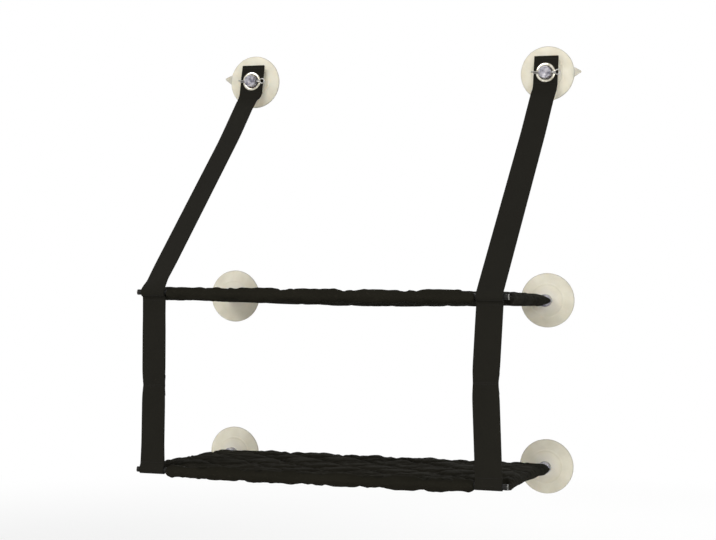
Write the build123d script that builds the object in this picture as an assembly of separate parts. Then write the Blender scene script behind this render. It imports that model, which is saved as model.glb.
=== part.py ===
from build123d import *
import os
from math import asin, atan2, ceil, cos, degrees, hypot, radians, sin

# A two-tier cat hammock that hangs on a window pane by six suction cups.
# Millimetres. X runs along the window, +Z is up, and the pane is the plane Y = 0.
# The room is on the -Y side. The origin is on the pane, midway between the
# upper shelf's two cups and level with them.

# Where the cups sit on the pane
shelf_gap = 260.0
top_cup_rise = 354.0
top_left_cup_x = -229.0
top_right_cup_x = 261.0

# Suction cup, pressed on: a shallow dome with a neck, a knob head and a release tab
cup_diameter = 85.0
cup_rim_thickness = 2.0
cup_lip_width = 9.0
cup_height = 9.0
cup_wall = 2.8
cup_crown_share = 0.72
neck_diameter = 15.0
neck_length = 4.0
head_diameter = 19.6
head_length = 14.0
head_edge_radius = 1.8
head_edge_most_share = 0.8
side_hole_from_neck = 7.5
tab_length = 8.0
tab_width = 15.0
tab_thickness = 1.6
tab_root = 6.0
tab_tip_radius = 2.5

# Rear rods, which pass through the shelf cups' side holes
rod_diameter = 6.0
rod_running_clearance = 0.08
rod_end_proud = 1.2
rod_chamfer = 0.6

# Shelf frames: an open-ended front tube, two side tubes and four moulded tees
front_tube_length = 556.0
front_tube_end_proud = 1.0
shelf_cup_inset_from_tube_end = 15.0
strap_inset_from_tube_end = 28.0
front_tube_reach = 340.0
front_tube_raise = 14.0
tube_diameter = 8.0
tube_wall = 1.0
tee_inset_from_strap = 7.0
tee_length = 24.0
tee_diameter = 11.6
tee_branch_diameter = 11.0
tee_branch_length = 24.0
tee_bore_clearance = 0.1
tee_edge_chamfer = 0.8
side_tube_end_gap = 3.0

# Padded covers
cover_front_roll_radius = 10.4
cover_front_roll_drop = 3.0
cover_rear_roll_radius = 9.0
cover_notch_depth = 40.0
cover_notch_side_gap = 1.0
cover_hem_side_gap = 1.0
cover_hem_front_setback = 16.0
cover_head_notch_depth = 15.0
cover_head_notch_side_gap = 3.2
cover_side_draw_in = 4.5
cover_sag_top = 1.2
cover_sag_bottom = 2.6
cover_edge_radius = 9.0
cover_channel_clearance = 0.3
quilt_diamond_width = 90.0
quilt_groove_depth = 2.4
quilt_groove_width = 9.0

# Webbing straps
webbing_width = 38.0
webbing_thickness = 1.6
strap_top_above_cup = 26.0
strap_doubled_below_cup = 18.5
strap_bend_radius = 16.0
strap_bend_below_cup = 19.0
strap_tail_length = 6.0
loop_clearance = 0.3
loop_pinch_below_axis = 10.0
lap_length = 30.0
lap_below_upper_tube = 122.0
seat_clearance = 0.3

# Grommets in the upper straps and the split pins in front of them
grommet_outer_diameter = 31.0
grommet_flange_thickness = 1.4
grommet_washer_thickness = 1.1
grommet_barrel_wall = 0.7
grommet_head_clearance = 0.5
grommet_edge_radius = 0.55
pin_diameter = 4.0
pin_slit = 0.4
pin_past_head = 12.0
pin_leg_difference = 3.0
pin_eye_past_head = 5.0
pin_eye_radius = 3.6
pin_eye_wire = 2.4

# Spare length for every cutting tool
overrun = 5.0

# Worked-out sizes
shelf_cup_spacing = front_tube_length - 2 * shelf_cup_inset_from_tube_end
cover_half_width = front_tube_length / 2 - front_tube_end_proud
strap_centre_x = front_tube_length / 2 - strap_inset_from_tube_end
cup_radius = cup_diameter / 2
head_radius = head_diameter / 2
neck_radius = neck_diameter / 2
head_base = cup_height + neck_length
rod_standoff = head_base + side_hole_from_neck
rod_radius = rod_diameter / 2
side_hole_radius = rod_radius + rod_running_clearance
tube_radius = tube_diameter / 2
tee_radius = tee_diameter / 2
tee_branch_radius = tee_branch_diameter / 2
shelf_arm = hypot(front_tube_reach - rod_standoff, front_tube_raise)
shelf_tilt = degrees(atan2(front_tube_raise, front_tube_reach - rod_standoff))
strap_half_width = webbing_width / 2
sleeve_half_width = strap_centre_x - strap_half_width - cover_notch_side_gap
tee_x = sleeve_half_width - tee_inset_from_strap - tee_length / 2
head_notch_x = shelf_cup_spacing / 2 - head_radius - cover_head_notch_side_gap
loop_inner = tube_radius + loop_clearance
loop_outer = loop_inner + webbing_thickness
wrap_inner = loop_outer + loop_clearance
wrap_outer = wrap_inner + webbing_thickness
loop_pinch_angle = degrees(asin(loop_inner / loop_pinch_below_axis))
grommet_front = rod_standoff - pin_diameter / 2 - seat_clearance
strap_face = grommet_front - grommet_flange_thickness
strap_back = strap_face - 2 * webbing_thickness
grommet_bore = head_radius + grommet_head_clearance
grommet_radius = grommet_outer_diameter / 2

left = -1
right = 1


def on_pane(x, z):
    """Local axes of a cup: z away from the pane, into the room, and y up."""
    return Plane(origin=(x, 0, z), x_dir=(1, 0, 0), z_dir=(0, -1, 0)).location


def cylinder_along_x(radius, length, x=0, y=0, z=0):
    return Pos(x, y, z) * Rot(Y=90) * Cylinder(radius, length)


def ring_profile(points_and_arcs):
    """A face in the XZ plane from joined edges drawn with x as radius and y as height."""
    return Plane.XZ * make_face(points_and_arcs)


def suction_cup(tab_side):
    """One cup in its local axes, its tab along x on the given side."""
    lip_inner = cup_radius - cup_lip_width
    ceiling = cup_height - cup_wall
    dome_rise = cup_height - cup_rim_thickness
    dome_run = cup_radius - neck_radius
    outer = ThreePointArc(
        (cup_radius, cup_rim_thickness),
        (neck_radius + dome_run / 2, cup_rim_thickness + dome_rise * cup_crown_share),
        (neck_radius, cup_height),
    )
    inner = ThreePointArc(
        (lip_inner, 0),
        (lip_inner / 2, ceiling * cup_crown_share),
        (0, ceiling),
    )
    head_top = head_base + head_length
    walls = Polyline(
        (neck_radius, cup_height),
        (neck_radius, head_base),
        (head_radius, head_base),
        (head_radius, head_top),
        (0, head_top),
        (0, ceiling),
    )
    rim = Polyline((lip_inner, 0), (cup_radius, 0), (cup_radius, cup_rim_thickness))
    cup = revolve(ring_profile([rim, outer, walls, inner]), Axis.Z)
    head_edges = cup.edges().filter_by(GeomType.CIRCLE).filter_by(
        lambda e: abs(e.radius - head_radius) < head_edge_radius and e.center().Z > cup_height
    )
    head_step = head_radius - neck_radius
    cup = fillet(head_edges, min(head_edge_radius, head_step * head_edge_most_share))
    root = cup_radius - tab_root
    tip = cup_radius + tab_length
    tab = extrude(
        make_face(
            Polyline(
                (root, -tab_width / 2),
                (cup_radius, -tab_width / 2),
                (tip, 0),
                (cup_radius, tab_width / 2),
                (root, tab_width / 2),
                close=True,
            )
        ),
        tab_thickness,
    )
    tab = fillet(tab.edges().filter_by(Axis.Z).group_by(Axis.X)[-1], tab_tip_radius)
    if tab_side == left:
        tab = Rot(Z=180) * tab
    hole = cylinder_along_x(side_hole_radius, head_diameter + 2 * overrun, z=rod_standoff)
    return cup + tab - hole


def rear_rod():
    length = shelf_cup_spacing + head_diameter + 2 * rod_end_proud
    rod = cylinder_along_x(rod_radius, length)
    return chamfer(rod.edges().filter_by(GeomType.CIRCLE), rod_chamfer)


def tube(length):
    """A tube along x with its bore open at both ends."""
    bore = tube_radius - tube_wall
    return cylinder_along_x(tube_radius, length) - cylinder_along_x(bore, length + 2 * overrun)


def tee(run_bore, branch_way):
    """A moulded tee: its run lies along x and its branch along y, forward or back."""
    branch_bore = tube_radius + tee_bore_clearance
    run = cylinder_along_x(tee_radius, tee_length)
    run = chamfer(run.edges().filter_by(GeomType.CIRCLE), tee_edge_chamfer)
    branch = Pos(0, branch_way * tee_branch_length / 2, 0) * Rot(X=90) * Cylinder(
        tee_branch_radius, tee_branch_length
    )
    branch_start = run_bore + side_tube_end_gap
    socket_length = tee_branch_length - branch_start + overrun
    socket = Pos(0, branch_way * (branch_start + socket_length / 2), 0) * Rot(X=90) * Cylinder(
        branch_bore, socket_length
    )
    through = cylinder_along_x(run_bore, tee_length + 2 * overrun)
    return run + branch - through - socket


front_tee_bore = tube_radius + tee_bore_clearance
rear_tee_bore = side_hole_radius
side_tube_front = -shelf_arm + front_tee_bore + side_tube_end_gap
side_tube_rear = -(rear_tee_bore + side_tube_end_gap)
side_tube_length = side_tube_rear - side_tube_front


def side_tube(side):
    """A side tube in the shelf's flat axes, seated in the sockets of its two tees."""
    middle = (side_tube_front + side_tube_rear) / 2
    return Pos(side * tee_x, middle, 0) * Rot(Z=90) * tube(side_tube_length)


def quilt_grooves(z, tilt, flip):
    """Crossed rows of V grooves on a plane tilted about x, cutting down or, flipped, up."""
    half_run = hypot(2 * cover_half_width, shelf_arm)
    reach = cover_half_width + shelf_arm / 2
    rows = ceil(reach / quilt_diamond_width)
    groove = extrude(
        Plane.YZ
        * make_face(
            Polyline(
                (-quilt_groove_width, quilt_groove_depth),
                (0, -quilt_groove_depth),
                (quilt_groove_width, quilt_groove_depth),
                close=True,
            )
        ),
        half_run / 2,
        both=True,
    )
    found = []
    for turn in (45, -45):
        for row in range(-rows, rows + 1):
            found.append(Pos(row * quilt_diamond_width, 0, 0) * Rot(Z=turn) * Rot(X=flip) * groove)
    return [Pos(0, -shelf_arm / 2, z) * Rot(X=tilt) * g for g in found]


def cover_plan():
    """The cover's outline from above, in the shelf's flat axes, with the rod along y = 0.

    Each strap has a notch in the front edge, and outside it a narrow hem runs on forward.
    """
    front = -shelf_arm - cover_front_roll_radius - overrun
    notch = -shelf_arm + cover_notch_depth
    hem_front = -shelf_arm + cover_hem_front_setback
    hem_inner = strap_centre_x + strap_half_width + cover_hem_side_gap
    rear_corner = -cover_head_notch_depth
    rear = cover_rear_roll_radius + overrun
    middle = (notch + rear_corner) / 2
    drawn = cover_half_width - cover_side_draw_in
    edges = [Line((-sleeve_half_width, front), (sleeve_half_width, front))]
    edges.append(Line((-head_notch_x, rear), (head_notch_x, rear)))
    for side in (left, right):
        corner = side * cover_half_width
        edges.append(
            Polyline(
                (side * sleeve_half_width, front),
                (side * sleeve_half_width, notch),
                (side * hem_inner, notch),
                (side * hem_inner, hem_front),
                (corner, hem_front),
                (corner, notch),
            )
        )
        edges.append(ThreePointArc((corner, notch), (side * drawn, middle), (corner, rear_corner)))
        edges.append(
            Polyline(
                (corner, rear_corner),
                (side * head_notch_x, rear_corner),
                (side * head_notch_x, rear),
            )
        )
    return make_face(edges)


def cover():
    """The quilted pad: rolled front and rear edges, drawn-in sides, and channels for the frame."""
    drop = cover_front_roll_drop
    roll = cover_front_roll_radius
    rear_roll = cover_rear_roll_radius
    front = -shelf_arm
    side_view = make_face(
        [
            ThreePointArc((0, rear_roll), (rear_roll, 0), (0, -rear_roll)),
            ThreePointArc(
                (0, -rear_roll),
                (front / 2, -(rear_roll + roll + drop) / 2 - cover_sag_bottom),
                (front, -roll - drop),
            ),
            ThreePointArc((front, -roll - drop), (front - roll, -drop), (front, roll - drop)),
            Line((front, roll - drop), (0, rear_roll)),
        ]
    )
    long_roll = extrude(Plane.YZ * side_view, cover_half_width + overrun, both=True)
    plan = extrude(cover_plan(), roll + drop + overrun, both=True)
    top = max(rear_roll, roll - drop)
    bottom = -roll - drop - cover_sag_bottom
    edge = cover_half_width
    inset = edge - cover_edge_radius
    corner = cover_edge_radius * (1 - sin(radians(45)))
    upper = top - cover_edge_radius
    lower = bottom + cover_edge_radius
    front_view = make_face(
        [
            ThreePointArc((-inset, top), (0, top - cover_sag_top), (inset, top)),
            ThreePointArc((inset, top), (edge - corner, top - corner), (edge, upper)),
            Line((edge, upper), (edge, lower)),
            ThreePointArc((edge, lower), (edge - corner, bottom + corner), (inset, bottom)),
            Line((inset, bottom), (-inset, bottom)),
            ThreePointArc((-inset, bottom), (corner - edge, bottom + corner), (-edge, lower)),
            Line((-edge, lower), (-edge, upper)),
            ThreePointArc((-edge, upper), (corner - edge, top - corner), (-inset, top)),
        ]
    )
    dish = extrude(Plane.XZ * front_view, shelf_arm + roll + 2 * overrun)
    dish = Pos(0, overrun + rear_roll, 0) * dish
    pad = long_roll & plan & dish
    top_tilt = degrees(atan2(rear_roll - (roll - drop), shelf_arm))
    bottom_tilt = degrees(atan2(roll + drop - rear_roll, shelf_arm))
    middle_top = (rear_roll + roll - drop) / 2
    middle_bottom = -(rear_roll + roll + drop) / 2
    pad -= quilt_grooves(middle_top, top_tilt, 0)
    pad -= quilt_grooves(middle_bottom - cover_sag_bottom / 2, bottom_tilt, 180)
    gap = cover_channel_clearance
    long_cut = 2 * cover_half_width + 2 * overrun
    pad -= cylinder_along_x(tube_radius + gap, long_cut, y=front)
    pad -= cylinder_along_x(rod_radius + gap, long_cut)
    for side in (left, right):
        tee_cut = tee_length + 2 * gap
        branch_cut = tee_branch_length + gap
        x = side * tee_x
        pad -= cylinder_along_x(tee_radius + gap, tee_cut, x, front)
        pad -= cylinder_along_x(tee_radius + gap, tee_cut, x)
        branch_hole = Rot(X=90) * Cylinder(tee_branch_radius + gap, branch_cut)
        pad -= Pos(x, front + branch_cut / 2, 0) * branch_hole
        pad -= Pos(x, -branch_cut / 2, 0) * branch_hole
        pad -= Pos(x, front / 2, 0) * Rot(X=90) * Cylinder(tube_radius + gap, shelf_arm)
    return pad


def on_shelf(level):
    """From the shelf's flat axes, whose x axis is the rod, to its place at a level."""
    return Pos(0, -rod_standoff, level) * Rot(X=-shelf_tilt)


def strip(face_points, x=0):
    """A band of webbing width from a closed outline in the YZ plane."""
    band = extrude(Plane.YZ * make_face(face_points), strap_half_width, both=True)
    return Pos(x, 0, 0) * band


front_y = -front_tube_reach
upper_tube_z = front_tube_raise
lower_tube_z = front_tube_raise - shelf_gap


def on_circle(radius, angle, level):
    """A point round a front tube in the YZ plane, its angle measured from the room side upwards."""
    return (front_y - radius * cos(radians(angle)), level + radius * sin(radians(angle)))


def eye_edges(radius, level, way):
    """Round the far side of a front tube, open where the webbing leaves it up or down."""
    near = way * loop_pinch_angle
    return ThreePointArc(
        on_circle(radius, near, level),
        on_circle(radius, -way * 90, level),
        on_circle(radius, 180 - near, level),
    )


def lower_strap(side):
    """An endless loop of webbing round both front tubes, its two layers together between them."""
    t = webbing_thickness
    top = upper_tube_z
    bottom = lower_tube_z
    x = side * strap_centre_x
    lean = radians(loop_pinch_angle)
    join = loop_outer * sin(lean) + (loop_outer * cos(lean) - t) / sin(lean) * cos(lean)
    outline = [eye_edges(loop_outer, top, -1), eye_edges(loop_outer, bottom, 1)]
    for room_side, reach in ((1, front_y - t), (0, front_y + t)):
        leave = loop_pinch_angle if room_side else 180 - loop_pinch_angle
        outline.append(
            Polyline(
                on_circle(loop_outer, -leave, top),
                (reach, top - join),
                (reach, bottom + join),
                on_circle(loop_outer, leave, bottom),
            )
        )
    body = strip(outline, x)
    for level, way in ((top, -1), (bottom, 1)):
        near = way * loop_pinch_angle
        pinch = Polyline(
            on_circle(loop_inner, near, level),
            (front_y, level + way * loop_pinch_below_axis),
            on_circle(loop_inner, 180 - near, level),
        )
        body -= strip([eye_edges(loop_inner, level, way), pinch], x)
    lap_top = top - lap_below_upper_tube
    lap = Pos(x, front_y - t - t / 2, lap_top - lap_length / 2) * Box(webbing_width, t, lap_length)
    return body + lap


def upper_strap(cup_x, side):
    """From a top cup's grommet down to the upper front tube, which its lower end wraps in front."""
    t = webbing_thickness
    level = top_cup_rise
    bend_z = level - strap_bend_below_cup
    end_x = side * strap_centre_x
    # The slope is tangent to the bend at the top and to the wrap at the bottom
    bend_y = -strap_face - strap_bend_radius
    wrap = wrap_outer
    away = hypot(front_y - bend_y, upper_tube_z - bend_z)
    down = degrees(atan2(bend_z - upper_tube_z, bend_y - front_y))
    lean = degrees(asin((wrap + strap_bend_radius) / away))
    slope = down - lean
    turn = 90 - slope

    def on_bend(radius, angle):
        """A point of the upper bend, its angle measured from the pane side downwards."""
        return (bend_y + radius * cos(radians(angle)), bend_z - radius * sin(radians(angle)))

    inner_bend = strap_bend_radius
    outer_bend = strap_bend_radius + t
    bend_arc = strip(
        [
            ThreePointArc(
                on_bend(inner_bend, 0),
                on_bend(inner_bend, turn / 2),
                on_bend(inner_bend, turn),
            ),
            Line(on_bend(inner_bend, turn), on_bend(outer_bend, turn)),
            ThreePointArc(
                on_bend(outer_bend, turn),
                on_bend(outer_bend, turn / 2),
                on_bend(outer_bend, 0),
            ),
            Line(on_bend(outer_bend, 0), on_bend(inner_bend, 0)),
        ],
        cup_x,
    )
    start = turn
    stop = -loop_pinch_angle
    tail_in = strap_tail_length * sin(radians(loop_pinch_angle))
    tail_down = strap_tail_length * cos(radians(loop_pinch_angle))
    inner_y, inner_z = on_circle(wrap_inner, stop, upper_tube_z)
    outer_y, outer_z = on_circle(wrap_outer, stop, upper_tube_z)
    wrap_arc = strip(
        [
            ThreePointArc(
                (inner_y, inner_z),
                on_circle(wrap_inner, (start + stop) / 2, upper_tube_z),
                on_circle(wrap_inner, start, upper_tube_z),
            ),
            Line(on_circle(wrap_inner, start, upper_tube_z), on_circle(wrap_outer, start, upper_tube_z)),
            ThreePointArc(
                on_circle(wrap_outer, start, upper_tube_z),
                on_circle(wrap_outer, (start + stop) / 2, upper_tube_z),
                (outer_y, outer_z),
            ),
            Polyline(
                (outer_y, outer_z),
                (outer_y + tail_in, outer_z - tail_down),
                (inner_y + tail_in, inner_z - tail_down),
                (inner_y, inner_z),
            ),
        ],
        end_x,
    )
    high_y, high_z = on_bend((inner_bend + outer_bend) / 2, turn)
    low_y, low_z = on_circle((wrap_inner + wrap_outer) / 2, start, upper_tube_z)
    along = (0, high_y - low_y, high_z - low_z)
    high = Plane(origin=(cup_x, high_y, high_z), x_dir=(1, 0, 0), z_dir=along) * Rectangle(webbing_width, t)
    low = Plane(origin=(end_x, low_y, low_z), x_dir=(1, 0, 0), z_dir=along) * Rectangle(webbing_width, t)
    slope_band = loft([low, high], ruled=True)
    upright_top = level + strap_top_above_cup
    upright = Pos(cup_x, -strap_face + t / 2, (upright_top + bend_z) / 2) * Box(
        webbing_width, t, upright_top - bend_z
    )
    doubled_bottom = level - strap_doubled_below_cup
    doubled = Pos(cup_x, -strap_face + 3 * t / 2, (upright_top + doubled_bottom) / 2) * Box(
        webbing_width, t, upright_top - doubled_bottom
    )
    hole_radius = grommet_bore + grommet_barrel_wall + seat_clearance
    hole = on_pane(cup_x, level) * Pos(0, 0, strap_face) * Cylinder(hole_radius, 2 * strap_face)
    return upright + doubled + bend_arc + slope_band + wrap_arc - hole


def grommet():
    """An eyelet and its washer, clenched through both layers of the strap, in a cup's local axes."""
    barrel_outer = grommet_bore + grommet_barrel_wall
    washer_gap = rod_running_clearance
    flange_base = strap_face + washer_gap
    washer_front = strap_back - washer_gap
    washer_back = washer_front - grommet_washer_thickness
    eyelet = revolve(
        ring_profile(
            Polyline(
                (grommet_bore, washer_back),
                (barrel_outer, washer_back),
                (barrel_outer, flange_base),
                (grommet_radius, flange_base),
                (grommet_radius, grommet_front),
                (grommet_bore, grommet_front),
                close=True,
            )
        ),
        Axis.Z,
    )
    crown = eyelet.edges().filter_by(GeomType.CIRCLE).group_by(Axis.Z)[-1]
    eyelet = fillet(crown, grommet_edge_radius)
    washer = revolve(
        ring_profile(
            Polyline(
                (barrel_outer + washer_gap, washer_back),
                (grommet_radius, washer_back),
                (grommet_radius, washer_front),
                (barrel_outer + washer_gap, washer_front),
                close=True,
            )
        ),
        Axis.Z,
    )
    return Compound([eyelet, washer])


def split_pin():
    """A split pin along x in a cup's local axes: its eye on the right and its legs on the left."""
    start = -head_radius - pin_past_head
    stop = head_radius + pin_eye_past_head + pin_eye_wire / 2
    radius = pin_diameter / 2
    shank = cylinder_along_x(radius, stop - start, (start + stop) / 2)
    slit = Pos((start + stop) / 2, 0, 0) * Box(stop - start + overrun, pin_slit, pin_diameter)
    slit = Pos(-pin_eye_wire - overrun / 2, 0, 0) * slit
    short = Pos(start, radius, 0) * Box(2 * pin_leg_difference, pin_diameter, pin_diameter)
    eye_x = stop + pin_eye_radius
    eye = Pos(eye_x, 0, 0) * Torus(pin_eye_radius, pin_eye_wire / 2)
    pin = shank - slit - short + eye
    return Pos(0, 0, rod_standoff) * pin


os.makedirs("parts", exist_ok=True)

cups = {
    "top_left_cup": (top_left_cup_x, top_cup_rise, left),
    "top_right_cup": (top_right_cup_x, top_cup_rise, right),
    "upper_left_cup": (-shelf_cup_spacing / 2, 0, right),
    "upper_right_cup": (shelf_cup_spacing / 2, 0, left),
    "lower_left_cup": (-shelf_cup_spacing / 2, -shelf_gap, right),
    "lower_right_cup": (shelf_cup_spacing / 2, -shelf_gap, left),
}
parts = {}
for name, (x, z, tab_side) in cups.items():
    parts[name] = on_pane(x, z) * suction_cup(tab_side)

flat_cover = cover()
for shelf, level in (("upper", 0), ("lower", -shelf_gap)):
    place = on_shelf(level)
    parts[f"{shelf}_rear_rod"] = Pos(0, -rod_standoff, level) * rear_rod()
    parts[f"{shelf}_front_tube"] = place * Pos(0, -shelf_arm, 0) * tube(front_tube_length)
    parts[f"{shelf}_cover"] = place * flat_cover
    for side_name, side in (("left", left), ("right", right)):
        x = side * tee_x
        parts[f"{shelf}_{side_name}_side_tube"] = place * side_tube(side)
        parts[f"{shelf}_{side_name}_front_tee"] = place * Pos(x, -shelf_arm, 0) * tee(front_tee_bore, 1)
        parts[f"{shelf}_{side_name}_rear_tee"] = place * Pos(x, 0, 0) * tee(rear_tee_bore, -1)

for side_name, side, cup_x in (("left", left, top_left_cup_x), ("right", right, top_right_cup_x)):
    parts[f"{side_name}_upper_strap"] = upper_strap(cup_x, side)
    parts[f"{side_name}_lower_strap"] = lower_strap(side)
    parts[f"{side_name}_grommet"] = on_pane(cup_x, top_cup_rise) * grommet()
    parts[f"{side_name}_split_pin"] = on_pane(cup_x, top_cup_rise) * split_pin()

for name, solid in parts.items():
    export_step(solid, f"parts/{name}.step")
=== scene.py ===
# %% [markdown]
# This lesson dresses a two-tier cat hammock: two quilted shelves that hang on a window pane from
# six suction cups and two webbing straps. The construction is already packed as a frame of nodes
# with real sizes, so most places below are read from it. What the frame does not hold has a size
# of its own here. The box of the bare frame is kept, and the floor is set below it.

# %% Load the frame
from math import asin, atan2, cos, degrees, hypot, pi, radians, sin, sqrt

import bmesh
import bpy
import numpy as np
from mathutils import Matrix, Vector, noise


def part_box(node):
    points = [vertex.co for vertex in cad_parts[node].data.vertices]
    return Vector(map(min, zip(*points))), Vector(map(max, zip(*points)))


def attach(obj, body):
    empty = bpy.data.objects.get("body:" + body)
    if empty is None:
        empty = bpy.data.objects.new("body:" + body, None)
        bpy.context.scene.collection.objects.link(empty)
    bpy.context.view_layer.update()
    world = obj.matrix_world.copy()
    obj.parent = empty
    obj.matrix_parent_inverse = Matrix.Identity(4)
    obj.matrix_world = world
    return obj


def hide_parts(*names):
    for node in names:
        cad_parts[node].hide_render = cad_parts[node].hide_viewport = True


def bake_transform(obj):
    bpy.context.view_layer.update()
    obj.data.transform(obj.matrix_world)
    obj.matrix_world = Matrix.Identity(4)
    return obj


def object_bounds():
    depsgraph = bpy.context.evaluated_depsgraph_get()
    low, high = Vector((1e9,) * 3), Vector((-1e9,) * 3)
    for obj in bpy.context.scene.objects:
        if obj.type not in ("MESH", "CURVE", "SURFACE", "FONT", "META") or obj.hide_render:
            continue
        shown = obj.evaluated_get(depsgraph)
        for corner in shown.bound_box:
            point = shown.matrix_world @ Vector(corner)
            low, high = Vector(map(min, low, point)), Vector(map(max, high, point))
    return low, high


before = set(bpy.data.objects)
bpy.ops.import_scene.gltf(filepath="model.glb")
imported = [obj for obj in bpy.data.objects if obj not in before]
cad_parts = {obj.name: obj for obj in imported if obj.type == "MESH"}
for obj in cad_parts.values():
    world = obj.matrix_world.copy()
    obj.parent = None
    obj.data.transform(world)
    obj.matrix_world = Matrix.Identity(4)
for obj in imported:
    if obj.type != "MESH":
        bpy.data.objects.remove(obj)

bare_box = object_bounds()
mm = 0.001
sides = {"left": -1, "right": 1}
shelves = ("upper", "lower")

# %% [markdown]
# The photograph was taken from the right of the window, level with the upper shelf and about two
# and a half metres away, with a slightly long lens. A camera is turned in three steps: yaw about
# the upright axis, pitch about its own side axis and a little roll about its line of sight.

# %% Camera
camera_place = Vector((0.76674, -2.50681, 0.07481))
camera_yaw = radians(18.03)
camera_pitch = radians(-0.65)
camera_roll = radians(0.25)
camera_lens = 81.66
camera_sensor = 36.0
scene = bpy.context.scene


def put_in_scene(name, data):
    made = bpy.data.objects.new(name, data)
    scene.collection.objects.link(made)
    return made


def set_all(target, settings):
    """Sets attributes by their names and gives the target back."""
    for name, value in settings.items():
        setattr(target, name, value)
    return target


camera = put_in_scene("camera", bpy.data.cameras.new("camera"))
camera.data.lens = camera_lens
camera.data.sensor_width = camera_sensor
look = Matrix.Rotation(camera_yaw, 4, "Z") @ Matrix.Rotation(pi / 2 + camera_pitch, 4, "X")
camera.matrix_world = Matrix.Translation(camera_place) @ look @ Matrix.Rotation(camera_roll, 4, "Z")
scene.camera = camera
scene.view_settings.view_transform = "Standard"
print("camera stands", round(camera_place.length, 2), "m from the middle of the upper shelf")

# %% [markdown]
# Shader sums read best as sums. A small class wraps one socket, so that adding, multiplying or
# comparing two of them adds the Math nodes, and a second class holds a material's node tree and
# adds any other node from its type, its settings and what goes into its sockets. Colours never
# pass through Math nodes, which would turn them grey.

# %% Shader helpers
class Wire:
    """A socket that gives one number for each point, with Python's operators as Math nodes."""

    def __init__(self, finish, socket):
        self.finish = finish
        self.socket = socket

    def math(self, operation, *others):
        inputs = dict(enumerate((self, *others)))
        return self.finish.node("ShaderNodeMath", {"operation": operation}, inputs)

    def __add__(self, other):
        return self.math("ADD", other)

    def __sub__(self, other):
        return self.math("SUBTRACT", other)

    def __rsub__(self, other):
        return self.finish.node("ShaderNodeMath", {"operation": "SUBTRACT"}, {0: other, 1: self})

    def __mul__(self, other):
        return self.math("MULTIPLY", other)

    def __truediv__(self, other):
        return self.math("DIVIDE", other)

    def __abs__(self):
        return self.math("ABSOLUTE")

    __radd__ = __add__
    __rmul__ = __mul__

    def step(self, low, high):
        """0 below low, 1 above high and smooth between."""
        settings = {"interpolation_type": "SMOOTHSTEP"}
        return self.finish.node("ShaderNodeMapRange", settings, {0: self, 1: low, 2: high})

    def wave(self, period):
        """A sine between 0 and 1 that repeats with the period."""
        return (self * (2 * pi / period)).math("SINE") * 0.5 + 0.5

    def near_line(self, period):
        """How far this coordinate is from the nearest of evenly spaced lines."""
        return abs((self / period + 0.5).math("FRACT") - 0.5) * period


class Finish:
    """One material, with its Principled shader and helpers that add nodes to it."""

    def __init__(self, name):
        self.material = bpy.data.materials.new(name)
        self.material.use_nodes = True
        self.tree = self.material.node_tree
        self.shader = self.tree.nodes["Principled BSDF"]

    def put(self, socket, value):
        if isinstance(value, Wire):
            self.tree.links.new(value.socket, socket)
        else:
            socket.default_value = value

    def node(self, kind, settings=None, inputs=None, output=0):
        made = set_all(self.tree.nodes.new(kind), settings or {})
        for name, value in (inputs or {}).items():
            self.put(made.inputs[name], value)
        return Wire(self, made.outputs[output])

    def set(self, **values):
        """Shader sockets by name, with underscores for spaces."""
        for name, value in values.items():
            self.put(self.shader.inputs[name.replace("_", " ")], value)
        return self

    def place(self):
        return self.node("ShaderNodeTexCoord", output=3)

    def map(self, name="UVMap"):
        return self.node("ShaderNodeUVMap", {"uv_map": name})

    def parts(self, vector):
        split = self.node("ShaderNodeSeparateXYZ", None, {0: vector})
        sockets = split.socket.node.outputs
        return Wire(self, sockets[0]), Wire(self, sockets[1]), Wire(self, sockets[2])

    def noise(self, vector, scale, detail=3.0, stretch=(1, 1, 1)):
        spread = self.node("ShaderNodeMapping", None, {"Vector": vector, "Scale": stretch})
        return self.node("ShaderNodeTexNoise", None, {"Vector": spread, "Scale": scale, "Detail": detail})

    def mix(self, share, low, high):
        """A colour between two colours."""
        inputs = {0: share, 6: low, 7: high}
        return self.node("ShaderNodeMix", {"data_type": "RGBA"}, inputs, output=2)

    def bump(self, height, distance, strength=1.0):
        inputs = {"Height": height, "Distance": distance, "Strength": strength}
        self.set(Normal=self.node("ShaderNodeBump", None, inputs))
        return self


def tint(red, green, blue):
    """A linear colour from the 0 to 255 values that a screen shows."""
    def linear(level):
        share = level / 255
        return share / 12.92 if share <= 0.04045 else ((share + 0.055) / 1.055) ** 2.4

    return (linear(red), linear(green), linear(blue), 1.0)


# %% [markdown]
# The object hangs well above a plain pale floor, as it would on a window. The background has to
# be white in the picture without flooding the object with light, so the world and the floor
# answer rays from the camera, mirrors and clear plastic with plain white, and all other rays
# with a soft studio grey. Near the object the floor keeps half of its own shading, and with it
# the shadow, and further out it fades into the white backdrop.

# %% Floor and world
floor_drop = 0.32
floor_half = 9.0
world_grey = (0.82, 0.83, 0.85, 1.0)
world_strength = 0.46
floor_paint = tint(244, 244, 242)
floor_own_share = 0.5
shadow_reach = 0.9
sweep_reach = 2.6


def seen_directly(nodes, links):
    """1 for rays from the camera, from mirrors and through clear plastic, otherwise 0."""
    path = nodes.new("ShaderNodeLightPath")
    total = path.outputs["Is Camera Ray"]
    for name in ("Is Glossy Ray", "Is Transmission Ray"):
        larger = nodes.new("ShaderNodeMath")
        larger.operation = "MAXIMUM"
        links.new(total, larger.inputs[0])
        links.new(path.outputs[name], larger.inputs[1])
        total = larger.outputs[0]
    return total


def mix_in_white(nodes, links, share, usual, white, end):
    """Ends a node tree in a mix of its usual shader and a white one."""
    either = nodes.new("ShaderNodeMixShader")
    links.new(share, either.inputs[0])
    links.new(usual.outputs[0], either.inputs[1])
    links.new(white.outputs[0], either.inputs[2])
    links.new(either.outputs[0], end.inputs["Surface"])


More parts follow.
